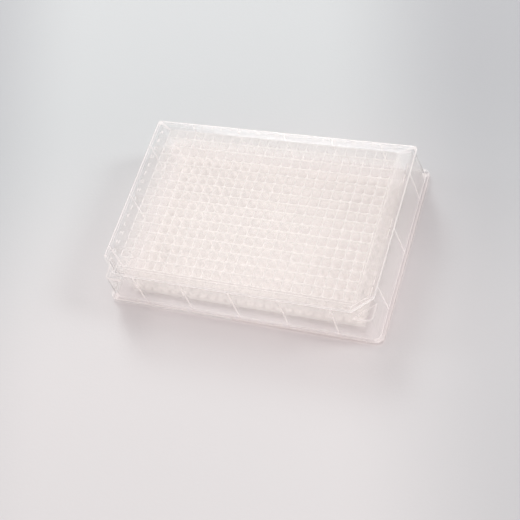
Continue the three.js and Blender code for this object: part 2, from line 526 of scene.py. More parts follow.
@dataclass(frozen=True)
class Outline:
    """One closed outline of the moulding at one height.

    All outlines have the same number of points in the same order, so that any two can be
    joined by a band of faces. Along the sides the points lie on the lines of the well grid.
    """

    half: Vector
    height: float
    radius: float
    cut: float = 0.0
    cut_radius: float = 0.6 * MM
    corner_points: int = 8

    def points(self, sizes: PlateSizes) -> list[Point]:
        """List the outline's points counter-clockwise from the front of the right-hand end.

        Args:
            sizes: Sizes of the plate, for the lines of the well grid.

        Returns:
            The points, in metres.
        """
        found: list[tuple[float, float]] = []
        across = [(i - sizes.rows / 2) * sizes.pitch for i in range(1, sizes.rows)]
        along = [(i - sizes.columns / 2) * sizes.pitch for i in range(1, sizes.columns)]
        found += [(self.half.x, y) for y in across]
        found += self._corner(1, 1)
        found += [(x, self.half.y) for x in reversed(along)]
        found += self._corner(-1, 1)
        found += [(-self.half.x, y) for y in reversed(across)]
        found += self._corner(-1, -1)
        found += [(x, -self.half.y) for x in along]
        found += self._corner(1, -1)
        return [(x, y, self.height) for x, y in found]

    def _corner(self, side_x: int, side_y: int) -> list[tuple[float, float]]:
        """List the points of one corner, round or cut off straight.

        Args:
            side_x: 1 for the right-hand end, -1 for the left-hand one.
            side_y: 1 for the rear, -1 for the front.

        Returns:
            Points in X and Y, in order round the outline.
        """
        start = {(1, 1): 0, (-1, 1): 1, (-1, -1): 2, (1, -1): 3}[(side_x, side_y)] * math.pi / 2
        if self.cut and side_y < 0:
            return self._cut_corner(side_x, start)
        steps = self.corner_points - 1
        centre = (side_x * (self.half.x - self.radius), side_y * (self.half.y - self.radius))
        angles = [start + i / steps * math.pi / 2 for i in range(self.corner_points)]
        return [arc_point(centre, self.radius, angle) for angle in angles]

    def _cut_corner(self, side_x: int, start: float) -> list[tuple[float, float]]:
        """List the points of a corner that is cut at 45 degrees, with its two ends rounded.

        Args:
            side_x: 1 for the right-hand end, -1 for the left-hand one.
            start: Angle at which the corner starts, in radians.

        Returns:
            Points in X and Y, in order round the outline.
        """
        leg = self.half.x + self.half.y - self.cut
        radius = self.cut_radius
        tangent = radius * math.tan(math.pi / 8)
        on_end = (side_x * (self.half.x - radius), -self.half.y + leg + tangent)
        on_front = (side_x * (self.half.x - leg - tangent), -self.half.y + radius)
        centres = (on_end, on_front) if side_x < 0 else (on_front, on_end)
        half_count = self.corner_points // 2
        found = []
        for part, centre in enumerate(centres):
            for i in range(half_count):
                angle = start + (part + i / (half_count - 1)) * math.pi / 4
                found.append(arc_point(centre, radius, angle))
        return found


def arc_point(centre: tuple[float, float], radius: float, angle: float) -> tuple[float, float]:
    """Point on a circle at an angle."""
    return centre[0] + radius * math.cos(angle), centre[1] + radius * math.sin(angle)


@dataclass
class Skirt:
    """Deck margin, skirt wall, flange and the inside of the skirt, as one swept surface."""

    sizes: PlateSizes
    deck_corner: float = 1.5 * MM
    flange_corner: float = 3.2 * MM
    wall_top_corner: float = 1.9 * MM
    wall_foot_corner: float = 2.9 * MM
    block_corner: float = 0.3 * MM
    edge: float = 0.35 * MM
    small_edge: float = 0.15 * MM
    fillet: float = 0.3 * MM
    shelf_rise: float = 0.015 * MM
    deck_steps: int = 4
    flange_steps: int = 2

    def build(self) -> bpy.types.Object:
        """Sweep the surface from the rim of the well field, round the skirt, to its underside.

        Returns:
            A mesh object that is open where the top and the bottom of the well grid go.
        """
        rings = self._outside() + self._inside()
        points: list[Point] = []
        faces: list[Face] = []
        for ring in rings:
            points += ring.points(self.sizes)
        count = len(points) // len(rings)
        for band in range(len(rings) - 1):
            upper, lower = band * count, (band + 1) * count
            for i in range(count):
                after = (i + 1) % count
                faces.append((upper + i, lower + i, lower + after, upper + after))
        thing = mesh_object("skirt", points, faces)
        weld(thing)
        return thing

    def _wall_corner(self, height: float) -> float:
        """Corner radius of the outside of the wall at one height.

        Args:
            height: Height above the table, in metres.

        Returns:
            The radius, in metres.
        """
        s = self.sizes
        share = (height - s.flange_height) / (s.deck_underside - s.flange_height)
        return self.wall_foot_corner + share * (self.wall_top_corner - self.wall_foot_corner)

    def _rounding(
        self, half: Vector, top: float, corner: float, steps: int, cut: float = 0.0,
    ) -> list[Outline]:
        """List the outlines that round an upper edge, from its flat top to its side.

        Args:
            half: Half length and half width at the side.
            top: Height of the flat top.
            corner: Corner radius at the side.
            steps: Number of bands of faces in the rounding.
            cut: Sum of X and Y at which the front corners are cut, 0 for none.

        Returns:
            The outlines, from the top down.
        """
        rings = []
        for step in range(steps + 1):
            angle = step / steps * math.pi / 2
            inward = self.edge * (1 - math.sin(angle))
            drop = self.edge * (1 - math.cos(angle))
            rings.append(Outline(
                half - Vector((1, 1)) * inward, top - drop, corner - inward,
                cut - inward * math.sqrt(2) if cut else 0.0,
            ))
        return rings

    def _outside(self) -> list[Outline]:
        """Outlines from the rim of the well field over the deck and down to the floor.

        Returns:
            The outlines, each joined to the next by faces.
        """
        s = self.sizes
        one = Vector((1, 1))
        deck_cut = s.notch_cut(0)
        wall_cut = s.notch_cut(s.deck_overhang)
        root_two = math.sqrt(2)
        rings = [Outline(s.field, s.height, 0.0)]
        rings += self._rounding(s.deck, s.height, self.deck_corner, self.deck_steps, deck_cut)
        low = s.deck_underside
        rings.append(Outline(s.deck, low + self.small_edge, self.deck_corner, deck_cut))
        rings.append(Outline(
            s.deck - one * self.small_edge, low, self.deck_corner - self.small_edge,
            deck_cut - self.small_edge * root_two,
        ))
        rings += [
            Outline(s.wall(low) + one * self.fillet / 2, low, self.wall_top_corner,
                    wall_cut + self.fillet / 2 * root_two),
            Outline(s.wall(low), low - self.fillet, self.wall_top_corner, wall_cut),
        ]
        shelf_top = s.shelf + self.shelf_rise
        above, below = s.shelf + self.fillet, s.shelf - self.edge
        rings += [
            Outline(s.wall(above), above, self._wall_corner(above), wall_cut),
            Outline(s.wall(shelf_top), shelf_top, self._wall_corner(s.shelf),
                    wall_cut + self.fillet / 2 * root_two),
            Outline(s.wall(s.shelf), s.shelf, self._wall_corner(s.shelf) - self.edge / 2),
            Outline(s.wall(below), below, self._wall_corner(below)),
        ]
        foot = s.flange_height
        rings += [
            Outline(s.wall(foot + self.fillet), foot + self.fillet, self.wall_foot_corner),
            Outline(s.wall(foot) + one * self.fillet / 2, foot, self.wall_foot_corner),
        ]
        rings += self._rounding(s.flange, foot, self.flange_corner, self.flange_steps)
        rings += [
            Outline(s.flange, self.small_edge, self.flange_corner),
            Outline(s.flange - one * self.small_edge, 0.0, self.flange_corner - self.small_edge),
        ]
        return rings

    def _inside(self) -> list[Outline]:
        """Outlines from the flange's inner edge up inside the skirt and down round the block.

        Returns:
            The outlines, each joined to the next by faces.
        """
        s = self.sizes
        one = Vector((1, 1))
        thick = s.skirt_thickness
        recess = s.flange - one * s.flange_thickness
        recess_corner = self.flange_corner - s.flange_thickness
        inner_cut = s.notch_cut(s.deck_overhang + thick)
        shelf_low = s.shelf - thick
        low = s.deck_underside
        block = s.field + one * s.block_skin

        def inner(height: float, cut: float = 0.0) -> Outline:
            """Outline of the inside of the wall."""
            half = s.wall(height) - one * thick
            return Outline(half, height, self._wall_corner(height) - thick, cut)

        return [
            Outline(recess + one * self.small_edge, 0.0, recess_corner + self.small_edge),
            Outline(recess, self.small_edge, recess_corner),
            Outline(recess, s.stacking_recess, recess_corner),
            inner(s.stacking_recess),
            inner(shelf_low - self.small_edge),
            inner(shelf_low, inner_cut),
            inner(low - self.fillet, inner_cut),
            Outline(s.wall(low) - one * (thick + self.fillet), low, self.block_corner,
                    inner_cut - self.fillet * math.sqrt(2)),
            Outline(block + one * self.small_edge, low, self.block_corner),
            Outline(block, low - self.small_edge, self.block_corner),
            Outline(block, s.block_bottom + self.small_edge, self.block_corner),
            Outline(block - one * self.small_edge, s.block_bottom, self.block_corner),
            Outline(s.field, s.block_bottom, 0.0),
        ]


# ---------------------------------------------------------------------------
# Wells
# ---------------------------------------------------------------------------


@dataclass
class WellGrid:
    """The wells: one cell with a well in its top and a shallow pyramid below, repeated."""

    sizes: PlateSizes
    wall_at_mouth: float = 0.7 * MM
    wall_at_foot: float = 1.1 * MM
    floor_thickness: float = 0.8 * MM
    pyramid_height: float = 0.6 * MM
    mouth_edge: float = 0.12 * MM
    mouth_corner: float = 0.7 * MM
    foot_corner: float = 0.9 * MM
    floor_flat: float = 0.5 * MM

    def build(self, material: bpy.types.Material) -> bpy.types.Object:
        """Repeat the cell over the grid.

        Args:
            material: Finish of the plate.

        Returns:
            A mesh object with an upper and a lower surface, open along its four sides.
        """
        s = self.sizes
        cell = self._cell()
        grid = grid_tree().run("wells", {
            "Cell": cell,
            "Columns": s.columns,
            "Rows": s.rows,
            "Length": (s.columns - 1) * s.pitch,
            "Width": (s.rows - 1) * s.pitch,
            "Weld": WELD,
            "Material": material,
        })
        discard(cell)
        return grid

    def _square(self, side: float, height: float, corner: float) -> list[Point]:
        """A square of eight points: its corners are cut across.

        Args:
            side: Length of its side, in metres.
            height: Height of its points, in metres.
            corner: Length cut off each side at a corner, in metres.

        Returns:
            The points, in order round the square.
        """
        half = side / 2
        near = half - corner
        flat = [(half, -near), (half, near), (near, half), (-near, half),
                (-half, near), (-half, -near), (-near, -half), (near, -half)]
        return [(x, y, height) for x, y in flat]

    def _cell(self) -> bpy.types.Object:
        """Build one cell about the Z axis.

        Returns:
            A mesh object without sides, as the cells beside it join it there.
        """
        s = self.sizes
        half = s.pitch / 2
        slope = self.pyramid_height / half
        mouth = s.pitch - self.wall_at_mouth
        foot = s.pitch - self.wall_at_foot
        tip_under = s.block_bottom - self.pyramid_height
        floor_point = tip_under + self.floor_thickness * math.hypot(1, slope)
        foot_height = floor_point + slope * foot / 2
        border = [(half, half), (-half, half), (-half, -half), (half, -half)]
        points: list[Point] = [(x, y, s.height) for x, y in border]
        rings = [
            self._square(mouth + 2 * self.mouth_edge, s.height, self.mouth_corner),
            self._square(mouth, s.height - self.mouth_edge, self.mouth_corner),
            self._square(foot, foot_height, self.foot_corner),
            self._square(self.floor_flat, floor_point + slope * self.floor_flat / 2,
                         self.floor_flat / 4),
        ]
        faces = self._frame(0, len(points))
        for ring in rings:
            points += ring
        faces += self._bands(len(border), len(rings))
        faces += self._fan(len(points))
        points.append((0.0, 0.0, floor_point + slope * self.floor_flat / 4))
        under = len(points)
        points += [(x, y, s.block_bottom) for x, y in border]
        points += self._square(
            self.floor_flat * 2, tip_under + slope * self.floor_flat, self.floor_flat / 2,
        )
        lower = self._frame(under, under + len(border))
        lower += self._fan(len(points))
        points.append((0.0, 0.0, tip_under + slope * self.floor_flat / 2))
        faces += [tuple(reversed(face)) for face in lower]
        return mesh_object("well_cell", points, faces)

    def _frame(self, border: int, ring: int) -> list[Face]:
        """Faces between the cell's border and a ring of eight points inside it.

        Args:
            border: Index of the border's first point.
            ring: Index of the ring's first point.

        Returns:
            The faces.
        """
        faces: list[Face] = []
        for corner in range(4):
            first = ring + (2 * corner + 1) % 8
            second = ring + (2 * corner + 2) % 8
            third = ring + (2 * corner + 3) % 8
            after = border + (corner + 1) % 4
            faces.append((border + corner, second, first))
            faces.append((border + corner, after, third, second))
        return faces

    def _bands(self, start: int, rings: int) -> list[Face]:
        """Faces between rings of eight points that follow each other.

        Args:
            start: Index of the first ring's first point.
            rings: Number of rings.

        Returns:
            The faces.
        """
        faces: list[Face] = []
        for band in range(rings - 1):
            for i in range(8):
                upper, lower = start + band * 8, start + (band + 1) * 8
                faces.append((upper + i, upper + (i + 1) % 8, lower + (i + 1) % 8, lower + i))
        return faces

    def _fan(self, centre: int) -> list[Face]:
        """Faces from a ring of eight points to the centre that follows them."""
        ring = centre - 8
        return [(ring + i, ring + (i + 1) % 8, centre) for i in range(8)]


# ---------------------------------------------------------------------------
# Stiffeners
# ---------------------------------------------------------------------------


@dataclass
class Stiffeners:
    """Ribs on the outside of the skirt, and gussets across the channels at both ends."""

    sizes: PlateSizes
    thickness: float = 0.9 * MM
    taper: float = 0.12 * MM
    foot_proud: float = 0.25 * MM
    gusset_depth: float = 6.0 * MM
    root: float = 0.4 * MM
    overlap: float = 0.5 * MM

    def build(self, material: bpy.types.Material) -> bpy.types.Object:
        """Make all ribs and gussets.

        Args:
            material: Finish of the plate.

        Returns:
            One mesh object of separate closed plates.
        """
        s = self.sizes
        tree = stiffener_tree()
        columns, column_step = s.stiffener_step(s.columns, s.rib_every_columns)
        rows, row_step = s.stiffener_step(s.rows, s.rib_every_rows)
        long_rib = self._plate("long_side_rib", self._rib_profile(1), along_x=True)
        end_rib = self._plate("end_rib", self._rib_profile(0), along_x=False)
        gusset = self._plate("end_gusset", self._gusset_profile(), along_x=False)
        jobs = [
            (long_rib, columns, Vector((column_step, 0, 0))),
            (end_rib, rows, Vector((0, row_step, 0))),
            (gusset, rows, Vector((0, row_step, 0))),
        ]
        made = []
        for plate, count, step in jobs:
            made.append(tree.run("stiffeners", {
                "Plate": plate,
                "Count": count,
                "First": -step * (count - 1) / 2,
                "Step": step,
                "Half Turn": (0.0, 0.0, math.pi),
                "Material": material,
            }))
            discard(plate)
        return merged("stiffeners", made)

    def _rib_profile(self, axis: int) -> Profile:
        """Outline of a rib: distance from the plate's middle, and height.

        Args:
            axis: 0 for a rib on an end, 1 for one on a long side.

        Returns:
            Its four corners.
        """
        s = self.sizes
        low, high = s.flange_height - self.overlap, s.deck_underside + self.overlap
        foot, head = s.wall(s.flange_height)[axis] + self.foot_proud, s.deck[axis] - self.taper

        def outer(height: float) -> float:
            """Outer edge of the rib at one height."""
            share = (height - s.flange_height) / (s.deck_underside - s.flange_height)
            return foot + share * (head - foot)

        return [
            (s.wall(low)[axis] - self.root, low),
            (outer(low), low),
            (outer(high), high),
            (s.wall(high)[axis] - self.root, high),
        ]

    def _gusset_profile(self) -> Profile:
        """Outline of a gusset between the end of the block and the skirt.

        Returns:
            Its four corners.
        """
        s = self.sizes
        low, high = s.deck_underside - self.gusset_depth, s.deck_underside + self.overlap
        block = s.field.x + s.block_skin
        thick = s.skirt_thickness
        return [
            (block - self.overlap, low),
            (s.wall(low).x - thick + self.root, low),
            (s.wall(high).x - thick + self.root, high),
            (block - self.overlap, high),
        ]

    def _plate(self, name: str, profile: Profile, along_x: bool) -> bpy.types.Object:
        """Build one standing plate.

        Args:
            name: Name of the object.
            profile: Outline as distances from the middle and heights.
            along_x: True for a plate on the front side, False for one on the right-hand end.

        Returns:
            A closed mesh object, in its place at the middle of its side.
        """
        half = self.thickness / 2
        points: list[Point] = []
        for side in (-1, 1):
            for index, (reach, height) in enumerate(profile):
                outer = index in (1, 2)
                offset = side * (half - self.taper if outer else half)
                points.append((offset, -reach, height) if along_x else (reach, offset, height))
        count = len(profile)
        faces: list[Face] = [tuple(range(count)), tuple(reversed(range(count, 2 * count)))]
        for i in range(count):
            after = (i + 1) % count
            faces.append((after, i, count + i, count + after))
        thing = mesh_object(name, points, faces)
        weld(thing)
        return thing


# ---------------------------------------------------------------------------
# Corner shelves
# ---------------------------------------------------------------------------


@dataclass
class ShelfBeads:
    """A fine bead along the outer edge of the shelf in each notched corner."""

    sizes: PlateSizes
    width: float = 0.5 * MM
    proud: float = 0.06 * MM
    corner: float = 2.3 * MM
    steps: int = 6
    overlap: float = 0.5 * MM

    def build(self) -> bpy.types.Object:
        """Make both beads.

        Returns:
            One mesh object of two closed beads.
        """
        return merged("shelf_beads", [self._bead(side) for side in (-1, 1)])

    def _bead(self, side: int) -> bpy.types.Object:
        """Sweep a small square along the edge of the shelf at one end of the plate.

        Args:
            side: 1 for the right-hand end, -1 for the left-hand one.

        Returns:
            A closed mesh object.
        """
        high, low = self.sizes.shelf + self.proud, self.sizes.shelf - self.width
        square = ((-self.proud, high), (-self.proud, low), (self.width, low), (self.width, high))
        rails = [self._rail(side, inward, height) for inward, height in square]
        points = [point for rail in rails for point in rail]
        count = len(rails[0])
        faces: list[Face] = [
            tuple(range(first, len(points), count)) for first in (0, count - 1)
        ]
        for rail in range(len(rails)):
            here, after = rail * count, (rail + 1) % len(rails) * count
            faces += [(here + i, here + i + 1, after + i + 1, after + i) for i in range(count - 1)]
        thing = mesh_object("shelf_bead", points, faces)
        weld(thing)
        return thing

    def _rail(self, side: int, inward: float, height: float) -> list[Point]:
        """List points from the front wall round the corner to the end wall.

        Args:
            side: 1 for the right-hand end, -1 for the left-hand one.
            inward: Distance inwards of the outside of the wall, in metres.
            height: Height of the points, in metres.

        Returns:
            The points, in metres.
        """
        s = self.sizes
        half = s.wall(s.shelf) - Vector((1, 1)) * inward
        radius = self.corner - inward
        centre = (half.x - radius, radius - half.y)
        start = (s.deck.x - s.notch_leg - self.overlap, -half.y)
        end = (half.x, s.notch_leg + self.overlap - s.deck.y)
        angles = [(i / self.steps - 1) * math.pi / 2 for i in range(self.steps + 1)]
        arc = [arc_point(centre, radius, angle) for angle in angles]
        return [(side * x, y, height) for x, y in (start, *arc, end)]


# ---------------------------------------------------------------------------
# Raised characters
# ---------------------------------------------------------------------------


@dataclass
class Characters:
    """Raised row letters in the left margin and column numbers in the rear margin."""

    sizes: PlateSizes
    size: float = 2.4 * MM
    rise: float = 0.16 * MM
    sunk: float = 0.1 * MM
    curve_steps: int = 3
    row_margin_share: float = 0.47
    column_margin_share: float = 0.52

    def build(self) -> bpy.types.Object:
        """Make all characters.

        Returns:
            One mesh object of separate closed characters, partly sunk in the deck.
        """
        s = self.sizes
        row_x = -(s.field.x + (s.deck.x - s.field.x) * self.row_margin_share)
        column_y = s.field.y + (s.deck.y - s.field.y) * self.column_margin_share
        made = []
        for row in range(s.rows):
            y = ((s.rows - 1) / 2 - row) * s.pitch
            made.append(self._word(chr(ord("A") + row), row_x, y))
        for column in range(s.columns):
            x = (column - (s.columns - 1) / 2) * s.pitch
            made.append(self._word(str(column + 1), x, column_y))
        whole = merged("characters", made)
        weld(whole)
        return whole

    def _word(self, word: str, x: float, y: float) -> bpy.types.Object:
        """Make one letter or number, centred on a place on the deck.

        Args:
            word: The letter or number.
            x: Place along the plate, in metres.
            y: Place across the plate, in metres.

        Returns:
            A mesh object whose foot is sunk in the deck.
        """
        curve = bpy.data.curves.new("character", "FONT")
        curve.body = word
        curve.size = self.size
        curve.align_x = "CENTER"
        curve.align_y = "CENTER"
        curve.extrude = (self.rise + self.sunk) / 2
        curve.resolution_u = self.curve_steps
        text = linked(bpy.data.objects.new("character", curve))
        graph = bpy.context.evaluated_depsgraph_get()
        mesh = bpy.data.meshes.new_from_object(text.evaluated_get(graph))
        bpy.data.objects.remove(text, do_unlink=True)
        bpy.data.curves.remove(curve)
        middle = self.sizes.height + (self.rise - self.sunk) / 2
        mesh.transform(Matrix.Translation((x, y, middle)))
        return linked(bpy.data.objects.new("character", mesh))


# ---------------------------------------------------------------------------
# Finishes
# ---------------------------------------------------------------------------


class Shading(NodeBuilder):
    """A material around its Principled shader."""

    def __init__(self, name: str) -> None:
        """Start a material.

        Args:
            name: Name of the material.
        """
        self.material = bpy.data.materials.new(name)
        self.material.use_nodes = True
        super().__init__(self.material.node_tree)
        self.shader = self.tree.nodes["Principled BSDF"]

    def set(self, **values: object) -> None:
        """Set sockets of the Principled shader, with underscores for spaces in their names."""
        for key, value in values.items():
            self.shader.inputs[key.replace("_", " ")].default_value = value

    def colour(self, share: object, low: object, high: object) -> bpy.types.NodeSocket:
        """Add a node that goes from one colour to another as the share goes from 0 to 1.

        Args:
            share: Number or socket, from 0 to 1.
            low: Colour or socket for share 0.
            high: Colour or socket for share 1.

        Returns:
            The node's output.
        """
        made = self.node("ShaderNodeMix", data_type="RGBA")
        for index, value in zip(COLOUR_SOCKETS, (share, low, high)):
            self.feed(made.inputs[index], (*value, 1.0) if isinstance(value, tuple) else value)
        return made.outputs[2]

    def around(
        self, noise: bpy.types.NodeSocket, middle: float, spread: float,
    ) -> bpy.types.NodeSocket:
        """Turn a noise about one half into a number that varies about its middle.

        Args:
            noise: The noise.
            middle: The number where the noise is one half.
            spread: The distance between the numbers at noise 0 and noise 1.

        Returns:
            The number's socket.
        """
        return self.math("MULTIPLY_ADD", noise, spread, middle - spread / 2)

    def along(self, place: bpy.types.NodeSocket, direction: Point) -> bpy.types.NodeSocket:
        """Distance of a place along a direction.

        Args:
            place: Socket of the place.
            direction: The direction, one unit long.

        Returns:
            The node's output.
        """
        made = self.node("ShaderNodeVectorMath", operation="DOT_PRODUCT")
        self.feed(made.inputs[0], place)
        self.feed(made.inputs[1], direction)
        return made.outputs["Value"]

    def smooth(self, value: bpy.types.NodeSocket, start: float, end: float) -> bpy.types.NodeSocket:
        """Go gently from 0 at the start to 1 at the end.

        Args:
            value: Socket of the number that goes.
            start: The number that gives 0.
            end: The number that gives 1.

        Returns:
            The node's output.
        """
        made = self.node("ShaderNodeMapRange", interpolation_type="SMOOTHSTEP")
        for name, given in (("Value", value), ("From Min", start), ("From Max", end)):
            self.feed(made.inputs[name], given)
        return made.outputs["Result"]

    def blend(self, share: object, first: bpy.types.Node, second: bpy.types.Node) -> bpy.types.Node:
        """Add a node that goes from one shader to another as the share goes from 0 to 1.

        Args:
            share: Number or socket, from 0 to 1.
            first: Node of the shader for share 0.
            second: Node of the shader for share 1.

        Returns:
            The node.
        """
        made = self.node("ShaderNodeMixShader")
        self.feed(made.inputs[0], share)
        self.feed(made.inputs[1], first.outputs[0])
        self.feed(made.inputs[2], second.outputs[0])
        return made

    def group(self, tree: bpy.types.NodeTree, **values: object) -> bpy.types.Node:
        """Add a node group with its own input values.

        Args:
            tree: The node group.
            **values: Its inputs, with underscores for spaces in their names.

        Returns:
            The node.
        """
        made = self.node("ShaderNodeGroup", node_tree=tree)
        for key, value in values.items():
            self.feed(made.inputs[key.replace("_", " ")], value)
        return made


def surface_grain() -> bpy.types.NodeTree:
    """Build the node group that gives both finishes their uneven surface.

    Returns:
        A group that turns a place into broad clouding and fine grain, both about evenly
        spread round one half. The fine grain is also the height of the surface.
    """
    tree = bpy.data.node_groups.new("surface_grain", "ShaderNodeTree")
    tree.interface.new_socket("Place", in_out="INPUT", socket_type="NodeSocketVector")
    given = tree.nodes.new("NodeGroupInput")
    result = tree.nodes.new("NodeGroupOutput")
    for name in ("Broad", "Fine"):
        tree.interface.new_socket(f"{name} Scale", in_out="INPUT", socket_type="NodeSocketFloat")
        tree.interface.new_socket(name, in_out="OUTPUT", socket_type="NodeSocketFloat")
        noise = tree.nodes.new("ShaderNodeTexNoise")
        noise.inputs["Detail"].default_value = GRAIN_DETAIL
        tree.links.new(given.outputs["Place"], noise.inputs["Vector"])
        tree.links.new(given.outputs[f"{name} Scale"], noise.inputs["Scale"])
        tree.links.new(noise.outputs[0], result.inputs[name])
    return tree


@dataclass(frozen=True)
class ClearPolypropylene:
    """Clear natural polypropylene: see-through where thin, milky where walls stand close.

    Light that passes through the moulding is dimmed less than sight is, because real walls
    scatter light onwards. Thin edges and the tops of the well walls carry painted highlights:
    they are tinted whiter and made milkier than the rest.
    """

    name: str = "clear_polypropylene"
    tint: Tint = (0.947, 0.935, 0.905)
    painted_highlight_tint: Tint = (0.97, 0.94, 0.93)
    shell_haze: float = 0.015
    well_haze: float = 0.14
    floor_haze: float = 0.35
    lip_highlight_haze: float = 0.36
    edge_highlight_haze: float = 0.68
    edge_on_haze: float = 0.42
    edge_on_power: float = 3.0
    shell_shade: float = 0.18
    well_shade: float = 0.006
    floor_shade: float = 0.55
    shell_dimming: Tint = (0.96, 0.925, 0.925)
    well_dimming: Tint = (1.0, 0.996, 0.996)
    through_glow: float = 0.5
    mirror_share: float = 0.03
    mirror_power: float = 5.0
    well_mirror: float = 0.25
    roughness: float = 0.14
    roughness_spread: float = 0.16
    cloud_scale: float = 70.0
    cloud_spread: float = 0.35
    peel_scale: float = 700.0
    peel_depth: float = 0.01 * MM

    def build(self, grain: bpy.types.NodeTree) -> bpy.types.Material:
        """Build the material.

        Args:
            grain: The group that gives the surface its clouding and its orange peel.

        Returns:
            The material.
        """
        made = Shading(self.name)
        made.set(Specular_IOR_Level=0.0)
        surface = made.group(
            grain, Place=made.node("ShaderNodeTexCoord").outputs["Object"],
            Broad_Scale=self.cloud_scale, Fine_Scale=self.peel_scale,
        )
        bump = made.node("ShaderNodeBump")
        bump.inputs["Distance"].default_value = self.peel_depth
        made.feed(bump.inputs["Height"], surface.outputs["Fine"])
        rough = made.around(surface.outputs["Fine"], self.roughness, self.roughness_spread)
        cloud = made.around(surface.outputs["Broad"], 1.0, self.cloud_spread)
        edge, well, lip, floor = (
            made.node("ShaderNodeAttribute", attribute_name=mask.value).outputs["Fac"]
            for mask in (Mask.EDGE, Mask.WELL, Mask.LIP, Mask.FLOOR)
        )
        facing = made.node("ShaderNodeLayerWeight").outputs["Facing"]
        path = made.node("ShaderNodeLightPath")
        unseen = made.math("MAXIMUM", path.outputs["Is Shadow Ray"], path.outputs["Is Diffuse Ray"])
        edge_on = made.math("POWER", facing, self.edge_on_power)
        haze = made.mix(edge_on, self.shell_haze, self.edge_on_haze)
        haze = made.mix(well, haze, self.well_haze)
        haze = made.math("MULTIPLY", haze, cloud)
        haze = made.mix(floor, haze, self.floor_haze)
        # Painted highlights: thin edges and well lips are made milkier than the rest, so they read
        # as bright lines.
        haze = made.mix(lip, made.mix(edge, haze, self.edge_highlight_haze), self.lip_highlight_haze)
        shade = made.mix(well, self.shell_shade, self.well_shade)
        shade = made.mix(floor, shade, self.floor_shade)
        # Painted highlight: thin edges and well lips are tinted whiter than the plastic.
        colour = made.colour(made.math("MAXIMUM", edge, lip), self.tint, self.painted_highlight_tint)
        glow = made.node("ShaderNodeBsdfTranslucent")
        clear = made.node("ShaderNodeBsdfTransparent")
        dimming = made.colour(well, self.shell_dimming, self.well_dimming)
        made.feed(clear.inputs["Color"], made.colour(unseen, WHITE, dimming))
        mirror = made.node("ShaderNodeBsdfGlossy")
        made.feed(made.shader.inputs["Base Color"], colour)
        made.feed(glow.inputs["Color"], colour)
        for shader in (made.shader, mirror):
            made.feed(shader.inputs["Roughness"], rough)
        for shader in (made.shader, glow, mirror):
            made.feed(shader.inputs["Normal"], bump.outputs["Normal"])
        share = made.mix(made.math("POWER", facing, self.mirror_power), self.mirror_share, 1.0)
        share = made.math("MULTIPLY", share, made.mix(well, 1.0, self.well_mirror))
        milk = made.blend(self.through_glow, made.shader, glow)
        body = made.blend(made.mix(unseen, haze, shade), clear, milk)
        whole = made.blend(made.mix(unseen, share, 0.0), body, mirror)
        made.feed(made.tree.nodes["Material Output"].inputs["Surface"], whole.outputs[0])
        return made.material


@dataclass(frozen=True)
class StudioPaper:
    """The pale paper under the plate. Its colour carries painted light and shade: lighter and
    warmer in front, darker behind and to both sides, where the studio light falls unevenly.
    """

    name: str = "studio_paper"
    near_painted_light_tint: Tint = (0.655, 0.625, 0.627)
    far_painted_light_tint: Tint = (0.543, 0.551, 0.557)
    side_painted_shade_tint: Tint = (0.411, 0.412, 0.426)
    back_direction: Point = (-0.3, 0.95, 0.0)
    side_direction: Point = (0.95, 0.3, 0.0)
    near: float = -0.071
    far: float = 0.09
    middle: float = -0.038
    side_start: float = 0.06
    side_reach: float = 0.14
    front_share: float = 0.54
    roughness: float = 0.85
    roughness_spread: float = 0.2
    fibre_scale: float = 900.0
    mottle_scale: float = 35.0
    fibre_depth: float = 0.03 * MM

    def build(self, grain: bpy.types.NodeTree) -> bpy.types.Material:
        """Build the material.

        Args:
            grain: The group that gives the paper its fibres.

        Returns:
            The material.
        """
        made = Shading(self.name)
        place = made.node("ShaderNodeTexCoord").outputs["Object"]
        surface = made.group(
            grain, Place=place, Broad_Scale=self.mottle_scale, Fine_Scale=self.fibre_scale,
        )
        bump = made.node("ShaderNodeBump")
        bump.inputs["Distance"].default_value = self.fibre_depth
        made.feed(bump.inputs["Height"], surface.outputs["Fine"])
        made.feed(made.shader.inputs["Normal"], bump.outputs["Normal"])
        rough = made.around(surface.outputs["Fine"], self.roughness, self.roughness_spread)
        made.feed(made.shader.inputs["Roughness"], rough)
        # Painted light and shade: the colour runs from the lighter front tone to the darker rear
        # tone, and darker still to both sides.
        back = made.along(place, self.back_direction)
        side = made.math("SUBTRACT", made.along(place, self.side_direction), self.middle)
        side = made.math("ABSOLUTE", side)
        rear = made.smooth(back, self.near, self.far)
        painted_light_tone = made.colour(rear, self.near_painted_light_tint, self.far_painted_light_tint)
        side_shade_share = made.smooth(side, self.side_start, self.side_reach)
        side_shade_share = made.math("MULTIPLY", side_shade_share, made.mix(rear, self.front_share, 1.0))
        made.feed(made.shader.inputs["Base Color"], made.colour(side_shade_share, painted_light_tone, self.side_painted_shade_tint))
        return made.material


# ---------------------------------------------------------------------------
# The plate as a whole
# ---------------------------------------------------------------------------


